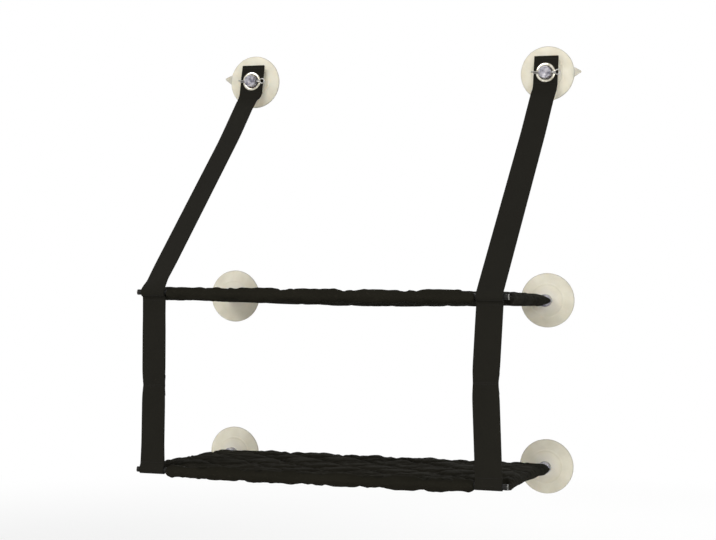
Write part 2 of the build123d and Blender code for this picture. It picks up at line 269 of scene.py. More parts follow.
world = bpy.data.worlds.new("studio")
scene.world = world
world.use_nodes = True
nodes, links = world.node_tree.nodes, world.node_tree.links
sky = nodes["Background"]
sky.inputs["Color"].default_value = world_grey
sky.inputs["Strength"].default_value = world_strength
white = nodes.new("ShaderNodeBackground")
white.inputs["Color"].default_value = (1, 1, 1, 1)
mix_in_white(nodes, links, seen_directly(nodes, links), sky, white, nodes["World Output"])

bm = bmesh.new()
bmesh.ops.create_grid(bm, x_segments=1, y_segments=1, size=floor_half)
bmesh.ops.translate(bm, verts=bm.verts, vec=(0, 0, bare_box[0].z - floor_drop))
floor_mesh = bpy.data.meshes.new("floor")
bm.to_mesh(floor_mesh)
bm.free()
floor = put_in_scene("floor", floor_mesh)
floor_finish = Finish("pale_floor").set(Base_Color=floor_paint, Roughness=0.9, Specular_IOR_Level=0.2)
nodes, links = floor_finish.tree.nodes, floor_finish.tree.links
glow = nodes.new("ShaderNodeEmission")
x, y = floor_finish.parts(floor_finish.place())[:2]
away = (x * x + y * y).math("SQRT").step(shadow_reach, sweep_reach)
fade = 1 - floor_own_share * (1 - away)
direct = Wire(floor_finish, seen_directly(nodes, links))
share = (direct * fade).socket
mix_in_white(nodes, links, share, floor_finish.shader, glow, nodes["Material Output"])
floor.data.materials.append(floor_finish.material)
print("floor lies at z", round(floor_mesh.vertices[0].co.z, 3))

# %% [markdown]
# Three large soft lamps light it: a key from the upper left of the room, a weaker fill from the
# right, and one behind the pane, because the cups are translucent and glow a little when light
# comes through the glass. Large lamps give wide soft highlights, as a light tent does.

# %% Lamps
lamps = {
    "key": ((-1.1, -2.9, 2.0), 1.8, 66.0),
    "fill": ((2.0, -2.8, 0.5), 1.8, 40.0),
    "through_the_glass": ((0.3, 1.9, 0.9), 2.0, 24.0),
}
for name, (spot, width, power) in lamps.items():
    lamp = put_in_scene(name, bpy.data.lights.new(name, "AREA"))
    lamp.data.size = width
    lamp.data.energy = power
    lamp.location = spot
    lamp.rotation_euler = (Vector((0, 0, 0)) - Vector(spot)).to_track_quat("-Z", "Y").to_euler()
print("lamps:", ", ".join(lamps))

# %% [markdown]
# Most new pieces end the same way: the bmesh becomes a mesh object at the origin, gets its
# finish, rides on a body and may stand for a node of the frame. Two functions do that, and a
# third one bakes an object's modifiers into its mesh.

# %% Piece helpers
weld = 0.01 * mm


def add_piece(name, bm, finishes, smooth=True):
    mesh = bpy.data.meshes.new(name)
    bm.to_mesh(mesh)
    bm.free()
    for finish in finishes:
        mesh.materials.append(finish.material)
    if smooth:
        mesh.polygons.foreach_set("use_smooth", [True] * len(mesh.polygons))
    return put_in_scene(name, mesh)


def merge(bm, other):
    """Adds another bmesh to this one and frees it."""
    spare = bpy.data.meshes.new("spare")
    other.to_mesh(spare)
    other.free()
    bm.from_mesh(spare)
    bpy.data.meshes.remove(spare)


def mesh_spots(piece):
    """The places of a piece's points, one row each."""
    spots = np.empty(len(piece.data.vertices) * 3)
    piece.data.vertices.foreach_get("co", spots)
    return spots.reshape(-1, 3)


def set_spots(piece, spots):
    piece.data.vertices.foreach_set("co", spots.ravel())
    piece.data.update()


def lay_map(piece, u, v):
    """Writes a UV map from one u and one v for each point."""
    layer = piece.data.uv_layers.new(name="UVMap")
    corners = np.empty(len(piece.data.loops), dtype=np.int32)
    piece.data.loops.foreach_get("vertex_index", corners)
    layer.data.foreach_set("uv", np.stack((u[corners], v[corners]), axis=1).ravel())


def bake_modifiers(piece):
    """Applies a piece's modifiers to its mesh."""
    shaped = piece.evaluated_get(bpy.context.evaluated_depsgraph_get())
    mesh = bpy.data.meshes.new_from_object(shaped)
    old = piece.data
    piece.modifiers.clear()
    piece.data = mesh
    bpy.data.meshes.remove(old)
    mesh.name = piece.name
    return piece


def modify(piece, kind, **settings):
    """Adds a modifier with its settings."""
    set_all(piece.modifiers.new(kind.lower(), kind), settings)
    return piece


def dress(piece, body, slot, *nodes):
    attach(piece, body)
    if nodes:
        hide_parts(*nodes)
    return piece


def spin_profile(bm, points, steps):
    """A closed or pole-to-pole profile, drawn as (radius, height), turned about the Z axis."""
    corners = [bm.verts.new((r, 0, h)) for r, h in points]
    edges = [bm.edges.new(pair) for pair in zip(corners, corners[1:])]
    bmesh.ops.spin(
        bm, geom=corners + edges, axis=(0, 0, 1), cent=(0, 0, 0), angle=2 * pi, steps=steps, use_merge=True
    )
    bmesh.ops.remove_doubles(bm, verts=bm.verts, dist=weld)
    bmesh.ops.recalc_face_normals(bm, faces=bm.faces)


# %% [markdown]
# The cups are one moulding of soft cream PVC. It is thin and translucent, so light from behind
# reaches the eye, which is done here with a share of transmission and of scattering below the
# skin. The finish has a fine orange peel from the mould and a faint milky cloud. Its outer rim is
# painted greyer, a painted shade, and the dome round the neck is paler, partly the paler hub and
# partly painted light. The thick knob of the same plastic looks clear and a little violet, so it
# has its own finish, with streaks of painted reflection and painted shade.

# %% Cup finishes
sample_low, sample_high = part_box("upper_left_cup")
cup_radius = (sample_high.z - sample_low.z) / 2
cup_depth = sample_high.y - sample_low.y


def cup_cream():
    finish = Finish("cream_pvc")
    spot = finish.place()
    away = finish.parts(finish.map())[0]
    cloud = finish.noise(spot, 55.0, 5.0)
    peel = finish.noise(spot, 900.0, 2.0)
    edge = away.step(cup_radius - 1.6 * mm, cup_radius - 0.3 * mm)
    middle = 1 - away.step(12.0 * mm, 24.0 * mm)
    colour = finish.mix(cloud.step(0.3, 0.75), tint(231, 226, 208), tint(220, 214, 194))
    # The dome round the neck is paler: partly the paler hub, partly painted light lifting the shade there.
    colour = finish.mix(middle * 0.6, colour, tint(228, 224, 214))
    # The outer rim is painted greyer: painted shade for the dark outline of the lip.
    finish.set(Base_Color=finish.mix(edge * 0.55, colour, tint(170, 168, 160)))
    finish.set(Roughness=cloud * 0.14 + 0.36, IOR=1.5, Specular_IOR_Level=0.35)
    finish.set(Transmission_Weight=0.22, Subsurface_Weight=0.25, Subsurface_Scale=0.004)
    finish.set(Subsurface_Radius=(1.0, 0.8, 0.55))
    return finish.bump(peel + cloud * 2.0, 0.05 * mm, 0.5)


def knob_clear():
    finish = Finish("clear_pvc")
    spot = finish.place()
    painted_reflection_streaks = finish.noise(spot, 160.0, 3.0, (1, 0.4, 1))
    # Light and dark streaks over the clear knob: painted reflections and painted shade.
    colour = finish.mix(painted_reflection_streaks.step(0.38, 0.62), tint(214, 211, 222), tint(126, 123, 138))
    finish.set(Base_Color=colour, Roughness=0.14, IOR=1.46, Transmission_Weight=0.55)
    return finish.bump(painted_reflection_streaks, 0.4 * mm, 0.5)


cream = cup_cream()
clear = knob_clear()
print("finishes:", cream.material.name, clear.material.name)

# %% [markdown]
# A suction cup is a turned shape, so its section is drawn once, from the middle of the hollow
# underside round the sealing lip, over the dome with its moulding ring, up the neck and round
# the knob, and then spun. The release tab is a flat outline, pulled out to its thickness and
# bevelled. The side hole through the knob is cut with a Boolean, because rods and pins go in it.

# %% Suction cups
tab_turn = {
    "top_left_cup": 173, "top_right_cup": 2,
    "upper_left_cup": 0, "upper_right_cup": 180,
    "lower_left_cup": -22, "lower_right_cup": 202,
}
rod_low, rod_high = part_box("upper_rear_rod")
rod_radius = (rod_high.z - rod_low.z) / 2
rod_y = (rod_high.y + rod_low.y) / 2
lip_width = 9.0 * mm
rim_height = 2.0 * mm
dome_height = 9.0 * mm
dome_wall = 2.8 * mm
crown_share = 0.72
neck_radius = 7.5 * mm
neck_top = 13.0 * mm
knob_radius = 9.8 * mm
knob_round = 1.8 * mm
ring_radius = 25.5 * mm
ring_height = 0.55 * mm
ring_width = 0.9 * mm
dimple_radius = 3.4 * mm
dimple_depth = 0.7 * mm
rim_steps = ((0.4, 0.0), (0.0, 0.4), (0.0, 1.3), (0.3, 2.1), (1.0, 2.4))
neck_steps = ((1.1, 0.2), (0.3, 0.9), (0.0, 1.8))
cup_spin_steps = 96
side_hole_clearance = 0.1 * mm


def crowned(share):
    """A rise from 0 to 1 that passes the crown share half way."""
    return (4 * crown_share - 1) * share + (2 - 4 * crown_share) * share**2


def bell(value, middle, width):
    """1 at the middle, fading to 0 on both sides of it."""
    return np.exp(-(((value - middle) / width) ** 2))


def arc_points(centre, size, start, stop, steps):
    """Points of a section on part of a circle or an ellipse, by angles in degrees."""
    turns = np.radians(np.linspace(start, stop, steps))
    return [(centre[0] + size[0] * cos(turn), centre[1] + size[1] * sin(turn)) for turn in turns]


def cup_section():
    lip_inner = cup_radius - lip_width
    ceiling = dome_height - dome_wall
    points = [(lip_inner * s, ceiling * crowned(1 - s)) for s in np.linspace(0, 1, 14)]
    points += [(cup_radius - inward * mm, up * mm) for inward, up in rim_steps]
    for share in np.linspace(0.05, 0.93, 34):
        radius = cup_radius - (cup_radius - neck_radius) * share
        height = rim_height + (dome_height - rim_height) * crowned(share)
        height += ring_height * bell(radius, ring_radius, ring_width)
        points.append((radius, height))
    points += [(neck_radius + out * mm, dome_height + up * mm) for out, up in neck_steps]
    points.append((neck_radius, neck_top))
    middle = knob_radius - knob_round
    for corner, start in ((neck_top + knob_round, -90), (cup_depth - knob_round, 0)):
        points += arc_points((middle, corner), (knob_round, knob_round), start, start + 90, 5)
    points += [(dimple_radius + 1.2 * mm, cup_depth), (dimple_radius, cup_depth - 0.25 * mm)]
    points += [(dimple_radius * 0.5, cup_depth - dimple_depth * 0.9), (0, cup_depth - dimple_depth)]
    return points


tab_root = cup_radius - 6.0 * mm
tab_tip = cup_radius + 10.5 * mm
tab_half_width = 7.5 * mm
tab_thickness = 1.6 * mm
tab_tip_half_width = 1.3 * mm
tab_lift = 0.1 * mm
tab_round = 0.5 * mm


def release_tab(turn):
    """The tab of a cup, turned about its middle by so many degrees from the right."""
    outline = [
        (tab_root, -tab_half_width), (cup_radius, -tab_half_width), (tab_tip, -tab_tip_half_width),
        (tab_tip, tab_tip_half_width), (cup_radius, tab_half_width), (tab_root, tab_half_width),
    ]
    tab = bmesh.new()
    face = tab.faces.new([tab.verts.new((x, y, tab_lift)) for x, y in outline])
    pulled = bmesh.ops.extrude_face_region(tab, geom=[face])["geom"]
    top = [v for v in pulled if isinstance(v, bmesh.types.BMVert)]
    bmesh.ops.translate(tab, verts=top, vec=(0, 0, tab_thickness))
    bmesh.ops.bevel(
        tab, geom=tab.edges[:], offset=tab_round, segments=3, profile=0.5, affect="EDGES", material=-1
    )
    bmesh.ops.rotate(tab, verts=tab.verts, cent=(0, 0, 0), matrix=Matrix.Rotation(radians(turn), 3, "Z"))
    bmesh.ops.recalc_face_normals(tab, faces=tab.faces)
    for face in tab.faces:
        face.smooth = True
    return tab


def cut_hole(piece, radius, start, end, steps=48):
    """Cuts a round hole from start to end with a Boolean and bakes it."""
    way = Vector(end) - Vector(start)
    bm = bmesh.new()
    bmesh.ops.create_cone(
        bm, cap_ends=True, segments=steps, radius1=radius, radius2=radius, depth=way.length
    )
    turn = way.to_track_quat("Z", "Y").to_matrix().to_4x4()
    middle = Matrix.Translation((Vector(start) + Vector(end)) / 2)
    bmesh.ops.transform(bm, matrix=middle @ turn, verts=bm.verts)
    cutter = add_piece("cutter", bm, [], smooth=False)
    bake_modifiers(modify(piece, "BOOLEAN", object=cutter, operation="DIFFERENCE", solver="EXACT"))
    bpy.data.objects.remove(cutter)


def cup_centre(node):
    """Where a cup's axis meets the pane, read from its box, whose tab sticks out on one side."""
    low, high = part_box(node)
    x = high.x - cup_radius if tab_turn[node] > 90 else low.x + cup_radius
    return Vector((x, 0, (low.z + high.z) / 2))


def face_the_room(bm, centre):
    """Turns a shape that stands up along Z so that it points from the pane into the room."""
    onto_pane = Matrix.Translation(centre) @ Matrix.Rotation(pi / 2, 4, "X")
    bmesh.ops.transform(bm, matrix=onto_pane, verts=bm.verts)


def lay_polar_map(piece, centre):
    """A UV map of each point's distance from an axis out of the pane, and from the pane."""
    spots = mesh_spots(piece)
    lay_map(piece, np.hypot(spots[:, 0] - centre.x, spots[:, 2] - centre.z), -spots[:, 1])


def suction_cup(node):
    centre = cup_centre(node)
    bm = bmesh.new()
    spin_profile(bm, cup_section(), cup_spin_steps)
    for face in bm.faces:
        face.material_index = 1 if face.calc_center_median().z > neck_top - 1.5 * mm else 0
    face_the_room(bm, centre)
    cup = add_piece(node + "_moulding", bm, [cream, clear])
    reach = Vector((2 * knob_radius, 0, 0))
    axis = centre + Vector((0, rod_y, 0))
    cut_hole(cup, rod_radius + side_hole_clearance, axis - reach, axis + reach)
    tab = release_tab(tab_turn[node])
    face_the_room(tab, centre)
    tab.from_mesh(cup.data)
    tab.to_mesh(cup.data)
    tab.free()
    lay_polar_map(cup, centre)
    return dress(cup, "window_side", "cup_pvc", node)


for node in tab_turn:
    suction_cup(node)
print("cups:", len(tab_turn), "of radius", round(cup_radius / mm, 1), "mm")

# %% [markdown]
# The rods are bright drawn steel, with fine lines along them, and the frame tubes are steel with
# a black powder coat whose skin is slightly rough. The tubes were cut after coating, so the last
# half millimetre at each cut end is bare. The nodes of the frame already have these shapes, so they
# only get finishes, and the bare ends are a mask on the X coordinate.

# %% Metal and nylon finishes
def grained(name, grain, tints, roughness, relief, **settings):
    """A plain finish whose colour, roughness and relief all follow one fine noise."""
    finish = Finish(name)
    level = finish.noise(finish.place(), *grain)
    least, span = roughness
    finish.set(Base_Color=finish.mix(level, *tints), Roughness=level * span + least, **settings)
    return finish.bump(level, *relief)


bare_end = 0.5 * mm


def coated_tube(half_length):
    finish = Finish("black_powder_coat")
    spot = finish.place()
    x = finish.parts(spot)[0]
    bare = abs(x).step(half_length - bare_end, half_length - bare_end + 0.1 * mm)
    peel = finish.noise(spot, 1400.0, 2.0)
    tone_and_painted_rim_reflection = finish.noise(spot, 60.0, 4.0)
    black = finish.mix(tone_and_painted_rim_reflection, tint(24, 24, 23), tint(38, 37, 35))
    finish.set(Base_Color=finish.mix(bare, black, tint(128, 127, 123)))
    finish.set(Metallic=bare, Specular_IOR_Level=0.12)
    finish.set(Roughness=(1 - bare) * (peel * 0.12 + 0.5) + bare * 0.36)
    return finish.bump(peel, 0.06 * mm, 0.6)


def moulded_nylon():
    finish = Finish("black_nylon")
    spot = finish.place()
    grain = finish.noise(spot, 1100.0, 3.0)
    cloud = finish.noise(spot, 70.0)
    finish.set(Base_Color=finish.mix(cloud, tint(22, 22, 23), tint(36, 36, 36)))
    finish.set(Roughness=grain * 0.15 + 0.55, Specular_IOR_Level=0.2)
    return finish.bump(grain, 0.05 * mm, 0.6)


def refinish(node, finish):
    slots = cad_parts[node].data.materials
    slots.clear()
    slots.append(finish.material)


steel_tints = tint(196, 196, 194), tint(150, 150, 150)
steel_lines = (600.0, 3.0, (0.02, 1, 1))
steel = grained("drawn_steel", steel_lines, steel_tints, (0.22, 0.2), (0.03 * mm, 0.4), Metallic=1.0)
tube_low, tube_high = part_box("upper_front_tube")
tube_half = (tube_high.x - tube_low.x) / 2
coat = coated_tube(tube_half)
nylon = moulded_nylon()
for shelf in shelves:
    refinish(f"{shelf}_rear_rod", steel)
    refinish(f"{shelf}_front_tube", coat)
    for side in sides:
        refinish(f"{shelf}_{side}_side_tube", coat)
        refinish(f"{shelf}_{side}_front_tee", nylon)
        refinish(f"{shelf}_{side}_rear_tee", nylon)
print("front tubes are", round(2 * tube_half / mm), "mm long")

# %% [markdown]
# A grommet is pressed sheet brass with nickel on it: an eyelet with a domed flange in front and a
# barrel that is rolled over a washer behind. Both are turned shapes, spun from their sections.
# Nickel is a mirror with very fine scratches; its outer slope and the edge of its bore are painted darker as
# painted dark reflections and painted shade, and the bright floor and lamps do the rest.

# %% Grommets
grommet_low, grommet_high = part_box("left_grommet")
outer_radius = (grommet_high.x - grommet_low.x) / 2
bore_radius = knob_radius + 0.5 * mm


def bright_nickel():
    finish = Finish("bright_nickel")
    spot = finish.place()
    away = finish.parts(finish.map())[0]
    scratches = finish.noise(spot, 700.0, 4.0, (1, 1, 0.15))
    haze = finish.noise(spot, 220.0)
    # The outer slope and the edge of the bore are painted darker: painted dark reflections and painted shade.
    slope = away.step(outer_radius - 1.5 * mm, outer_radius - 0.2 * mm)
    inside = 1 - away.step(bore_radius + 0.1 * mm, bore_radius + 1.0 * mm)
    plate = finish.mix(haze.step(0.35, 0.65), tint(226, 222, 208), tint(184, 178, 160))
    tone_and_painted_rim_reflection = finish.mix(slope * 0.7, plate, tint(104, 98, 84))
    finish.set(Base_Color=finish.mix(inside * 0.55, tone_and_painted_rim_reflection, tint(120, 116, 104)))
    finish.set(Metallic=1.0, Roughness=scratches * 0.1 + 0.1)
    return finish.bump(scratches, 0.01 * mm, 0.3)


nickel = bright_nickel()
barrel_wall = 0.7 * mm
flange_height = 1.32 * mm
strap_below_flange = 1.4 * mm
washer_gap = 0.08 * mm
bore_edge = 1.1 * mm
crest_rise = 1.0 * mm
washer_thickness = 1.1 * mm
grommet_spin_steps = 72


def eyelet_section(bore, outer, back, front, strap_face):
    """Up the inside of the barrel, over the domed flange and back down outside the barrel."""
    crest = bore + (outer - bore) * 0.42
    points = [(bore, back), (bore, front - bore_edge)]
    points += arc_points((crest, front - crest_rise), (crest - bore, crest_rise), 180, 90, 6)
    points += arc_points((crest, strap_face), (outer - crest, front - strap_face), 75, 0, 6)
    points += [(outer, strap_face), (bore + barrel_wall, strap_face), (bore + barrel_wall, back)]
    return points + [points[0]]


def washer_section(inner, outer, back, front):
    edge = 0.3 * mm
    points = [(inner, back + edge), (inner + edge, back), (outer - edge, back), (outer, back + edge)]
    points += [(outer, front - edge), (outer - edge, front), (inner + edge, front), (inner, front - edge)]
    return points + [points[0]]


def grommet(side):
    node = f"{side}_grommet"
    low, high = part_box(node)
    front, back = -low.y, -high.y
    face = front - flange_height
    bm = bmesh.new()
    spin_profile(bm, eyelet_section(bore_radius, outer_radius, back, front, face), grommet_spin_steps)
    ring = bmesh.new()
    inner = bore_radius + barrel_wall + washer_gap
    washer = washer_section(inner, outer_radius, back, back + washer_thickness)
    spin_profile(ring, washer, grommet_spin_steps)
    merge(bm, ring)
    centre = Vector(((low.x + high.x) / 2, 0, (low.z + high.z) / 2))
    face_the_room(bm, centre)
    eyelet = add_piece(f"{side}_grommet_ring", bm, [nickel])
    lay_polar_map(eyelet, centre)
    return dress(eyelet, "window_side", "grommet_metal", node)


for side in sides:
    grommet(side)
print("grommets:", len(sides))

# %% [markdown]
# A split pin is one half-round wire, bent back on itself with an eye, so that its two flat sides
# lie together. A curve is the natural tool: a flat path for the wire and a D-shaped bevel for
# its section. It becomes a mesh before it is placed, and one leg is left longer than the other.

# %% Split pins
zinc_tints = tint(206, 204, 198), tint(158, 157, 156)
zinc = grained("zinc_wire", (450.0, 3.0), zinc_tints, (0.22, 0.16), (0.03 * mm, 0.4), Metallic=1.0)
leg_difference = 3.0 * mm
eye_gap = 0.25 * mm


def flat_curve(name, points, closed):
    curve = bpy.data.curves.new(name, "CURVE")
    curve.dimensions = "2D"
    spline = curve.splines.new("POLY")
    spline.points.add(len(points) - 1)
    for point, (x, y) in zip(spline.points, points):
        point.co = (x, y, 0, 1)
    spline.use_cyclic_u = closed
    return put_in_scene(name, curve)


def bent_wire(name, path, section):
    """A mesh tube with the given section along a flat path."""
    drawn = flat_curve(name + "_section", section, closed=True)
    bent = flat_curve(name, path, closed=False)
    bent.data.fill_mode = "NONE"
    bent.data.bevel_mode = "OBJECT"
    bent.data.bevel_object = drawn
    bent.data.use_fill_caps = True
    shaped = bent.evaluated_get(bpy.context.evaluated_depsgraph_get())
    mesh = bpy.data.meshes.new_from_object(shaped)
    bpy.data.objects.remove(bent)
    bpy.data.objects.remove(drawn)
    return mesh


def split_pin(side):
    node = f"{side}_split_pin"
    low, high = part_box(node)
    radius = (high.y - low.y) / 2
    eye_radius = (high.z - low.z) / 2 - radius / 2
    middle = Vector((0, (low.y + high.y) / 2, (low.z + high.z) / 2))
    eye_x = high.x - (high.z - low.z) / 2
    half_wire = radius / 2
    round_turn = np.linspace(0, 2 * pi, 20, endpoint=False)
    section = [(half_wire * 0.95 * cos(a), radius * 0.9 * sin(a)) for a in round_turn]
    open_half = asin(half_wire / eye_radius)
    path = [(low.x + leg_difference, -half_wire - eye_gap / 2)]
    for turn in np.linspace(pi + open_half, 3 * pi - open_half, 40):
        path.append((eye_x + eye_radius * cos(turn), eye_radius * sin(turn)))
    path.append((low.x, half_wire + eye_gap / 2))
    mesh = bent_wire(node + "_wire", path, section)
    bm = bmesh.new()
    bm.from_mesh(mesh)
    bpy.data.meshes.remove(mesh)
    bmesh.ops.remove_doubles(bm, verts=bm.verts, dist=weld)
    face_the_room(bm, middle)
    bmesh.ops.recalc_face_normals(bm, faces=bm.faces)
    pin = add_piece(node + "_wire", bm, [zinc])
    return dress(pin, f"{side}_pin", "pin_steel", node)


for side in sides:
    split_pin(side)
print("split pins:", len(sides))

# %% [markdown]
# Webbing is a flat weave with ribs across it and a tight edge on both sides. The pattern has to
# follow each strap round its bends, so it reads a UV map in metres: U runs across the strap and
# V along it. Two rows of yarn that alternate give the woven relief, and the bump carries it. The
# stitching thread is a slightly shinier black.

# %% Webbing finishes
webbing_width = 38.0 * mm
webbing_thickness = 1.6 * mm
rib_period = 1.5 * mm
yarn_period = 2.2 * mm


def woven_webbing():
    finish = Finish("black_webbing")
    across, along = finish.parts(finish.map())[:2]
    shifted = along + (across / yarn_period).math("FLOOR") * (rib_period / 2)
    ribs = shifted.wave(rib_period)
    yarns = across.wave(yarn_period)
    edge = abs(across).step(webbing_width / 2 - 1.6 * mm, webbing_width / 2 - 1.0 * mm)
    weave = ribs * 0.65 + yarns * 0.35
    fade = finish.noise(finish.place(), 22.0, 4.0)
    fuzz = finish.noise(finish.place(), 2400.0, 2.0)
    base = finish.mix(fade, tint(19, 18, 14), tint(27, 26, 21))
    lit = finish.mix(weave * 0.4 + fuzz * 0.2, base, tint(38, 36, 31))
    finish.set(Base_Color=finish.mix(edge * 0.5, lit, tint(15, 14, 12)))
    finish.set(Roughness=fuzz * 0.15 + 0.75, Sheen_Weight=0.01, Sheen_Roughness=0.5, Specular_IOR_Level=0.05)
    return finish.bump(weave + fuzz * 0.3, 0.22 * mm, 0.8)


webbing = woven_webbing()
thread_tints = tint(15, 14, 13), tint(34, 32, 29)
thread_relief = (0.05 * mm, 0.5)
thread = grained(
    "black_thread", (3000.0, 2.0), thread_tints, (0.5, 0.2), thread_relief, Specular_IOR_Level=0.2
)
print("webbing:", round(webbing_width / mm), "mm wide")

# %% [markdown]
# A strap is a ribbon along a route. The route is a list of pieces, straight runs and arcs in the
# plane across the shelf, and one function says where a point lies at a length along it. The
# ribbon starts as a flat grid, whose points are then carried onto the route, and a Solidify and
# a Bevel give it its thickness and soft edges. The UV map is laid while the grid is still flat.

# %% Ribbon helpers
ribbon_bevel = {"width": 0.45 * mm, "segments": 2, "limit_method": "ANGLE", "angle_limit": radians(35)}


def smooth(value, low, high):
    """0 below low, 1 above high and smooth between, for one number or an array."""
    share = np.clip((value - low) / (high - low), 0, 1)
    return share * share * (3 - 2 * share)


class Route:
    """Joined straight runs and arcs of (y, z) points, each with its length."""

    def __init__(self):
        self.runs = []
        self.length = 0.0

    def add(self, length, at):
        self.runs.append((self.length, length, at))
        self.length += length
        return self

    def line(self, start, end):
        start, end = Vector(start), Vector(end)
        return self.add((end - start).length, lambda share: start.lerp(end, share))

    def arc(self, centre, radius, start, end):
        """From one angle to another; 0 points to the room and 90 points up."""
        def at(share):
            turn = start + (end - start) * share
            return Vector((centre[0] - radius * cos(turn), centre[1] + radius * sin(turn)))

        return self.add(abs(end - start) * radius, at)

    def at(self, length):
        for start, run, place in self.runs:
            if length <= start + run:
                break
        return place(min(1.0, max(0.0, (length - start) / run)))


def ribbon(name, length, place, step=2.5 * mm, across=12, closed=False):
    """A strip of webbing; place gives a point from its length along and its share across."""
    bm = bmesh.new()
    rows = round(length / step)
    bmesh.ops.create_grid(bm, x_segments=across, y_segments=rows, size=0.5, calc_uvs=True)
    layer = bm.loops.layers.uv.verify()
    for face in bm.faces:
        for corner in face.loops:
            share, along = corner.vert.co.x, corner.vert.co.y + 0.5
            corner[layer].uv = (share * webbing_width, along * length)
    for vert in bm.verts:
        vert.co = place((vert.co.y + 0.5) * length, vert.co.x)
    if closed:
        bmesh.ops.remove_doubles(bm, verts=bm.verts, dist=0.05 * mm)
    bmesh.ops.recalc_face_normals(bm, faces=bm.faces)
    piece = add_piece(name, bm, [webbing, thread])
    modify(piece, "SOLIDIFY", thickness=webbing_thickness, offset=0, use_even_offset=True)
    return bake_modifiers(modify(piece, "BEVEL", **ribbon_bevel))


def add_stitches(bm, start, end, across_normal, pitch=3.0 * mm):
    """A row of thread bumps from start to end, lying on a face with the given normal."""
    start, end = Vector(start), Vector(end)
    way = end - start
    count = max(1, round(way.length / pitch))
    along = way.normalized()
    out = Vector(across_normal).normalized()
    turn = Matrix((along, out.cross(along), out)).transposed().to_4x4()
    size = Matrix.Diagonal((0.36 * pitch, 0.42 * mm, 0.34 * mm, 1.0))
    for number in range(count):
        middle = start + way * ((number + 0.5) / count)
        made = bmesh.ops.create_uvsphere(
            bm, u_segments=6, v_segments=4, radius=1.0, matrix=Matrix.Translation(middle) @ turn @ size
        )
        for face in {f for v in made["verts"] for f in v.link_faces}:
            face.material_index = 1
            face.smooth = True


def sew(piece, rows):
    """Adds stitch rows to a piece; each row is (start, end, normal)."""
    bm = bmesh.new()
    bm.from_mesh(piece.data)
    for start, end, normal in rows:
        add_stitches(bm, start, end, normal)
    bm.to_mesh(piece.data)
    bm.free()
    return piece


# %% [markdown]
# Each lower strap is an endless loop round both front tubes, its two layers together between
# them, and its ends lap over a short way on the pane side. The seam of that lap is seen from the
# room as a line half way down, where the webbing is a little narrower and turns a few degrees.
# Close to a tube the layers part and go round it, held by a row of stitches at the pinch.

# %% Lower straps
def tube_axis(shelf):
    low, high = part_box(f"{shelf}_front_tube")
    return ((low.y + high.y) / 2, (low.z + high.z) / 2)


upper_axis = tube_axis("upper")
lower_axis = tube_axis("lower")
loop_radius = (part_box("left_lower_strap")[1].z - upper_axis[1]) - webbing_thickness / 2
loop_inner = loop_radius - webbing_thickness / 2
pinch_drop = 8.0 * mm
pinch_angle = asin(loop_inner / pinch_drop)
layer_gap = 0.06 * mm
half_layer = webbing_thickness / 2 + layer_gap / 2
waist_height = {"left": upper_axis[1] - 136.0 * mm, "right": upper_axis[1] - 119.0 * mm}
waist_share = 0.07
waist_reach = 13.0 * mm
waist_dent = 0.8 * mm
dent_reach = 3.0 * mm
waist_shift = {"left": -0.4 * mm, "right": -6.2 * mm}
foot_shift = {"left": -2.2 * mm, "right": -0.6 * mm}
gather_share = {"left": 0.06, "right": 0.0}
gather_reach = 60.0 * mm
outward_slide = 1.8 * mm
lap_length = 30.0 * mm
stitch_inset = 3.0 * mm
waist_stitch = 1.2 * mm
spread_share = 0.01
stitched_share = 0.87
spread_height = 26.0 * mm
half_height = (upper_axis[1] + lower_axis[1]) / 2
half_drop = (upper_axis[1] - lower_axis[1]) / 2
loop_twist = {"left": radians(-6), "right": radians(2)}
twist_reach = 45.0 * mm


def strap_x(side):
    """The middle of a strap on the upper tube, where the webbing has slid outward a little."""
    low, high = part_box(f"{side}_lower_strap")
    return (low.x + high.x) / 2 + sides[side] * outward_slide


def loop_route():
    """Down the room side from the upper tube, round the lower one and up the pane side."""
    y = upper_axis[0]
    top, bottom = upper_axis[1], lower_axis[1]
    above, beside = loop_radius * sin(pinch_angle), loop_radius * cos(pinch_angle)
    leave = above + (beside - half_layer) / sin(pinch_angle) * cos(pinch_angle)
    room, pane = y - half_layer, y + half_layer

    def rim(level, angle):
        return (y - loop_radius * cos(angle), level + loop_radius * sin(angle))

    route = Route()
    route.line((room, half_height), (room, bottom + leave))
    route.line((room, bottom + leave), rim(bottom, pinch_angle))
    route.arc((y, bottom), loop_radius, pinch_angle, -pi - pinch_angle)
    route.line(rim(bottom, pi - pinch_angle), (pane, bottom + leave))
    route.line((pane, bottom + leave), (pane, top - leave))
    route.line((pane, top - leave), rim(top, pi + pinch_angle))
    route.arc((y, top), loop_radius, pi + pinch_angle, -pinch_angle)
    route.line(rim(top, -pinch_angle), (room, top - leave))
    route.line((room, top - leave), (room, half_height))
    return route, leave


loop_length = loop_route()[0].length


def room_side(place, z, across):
    """A point of the loop's room-side layer at a height; its first run goes down from half way."""
    below = half_height - z
    return place(below if below > 0 else loop_length + below, across)


def pane_side(place, z, across):
    """A point of the loop's pane-side layer at a height; it is half a loop further on."""
    return place(loop_length / 2 + z - half_height, across)


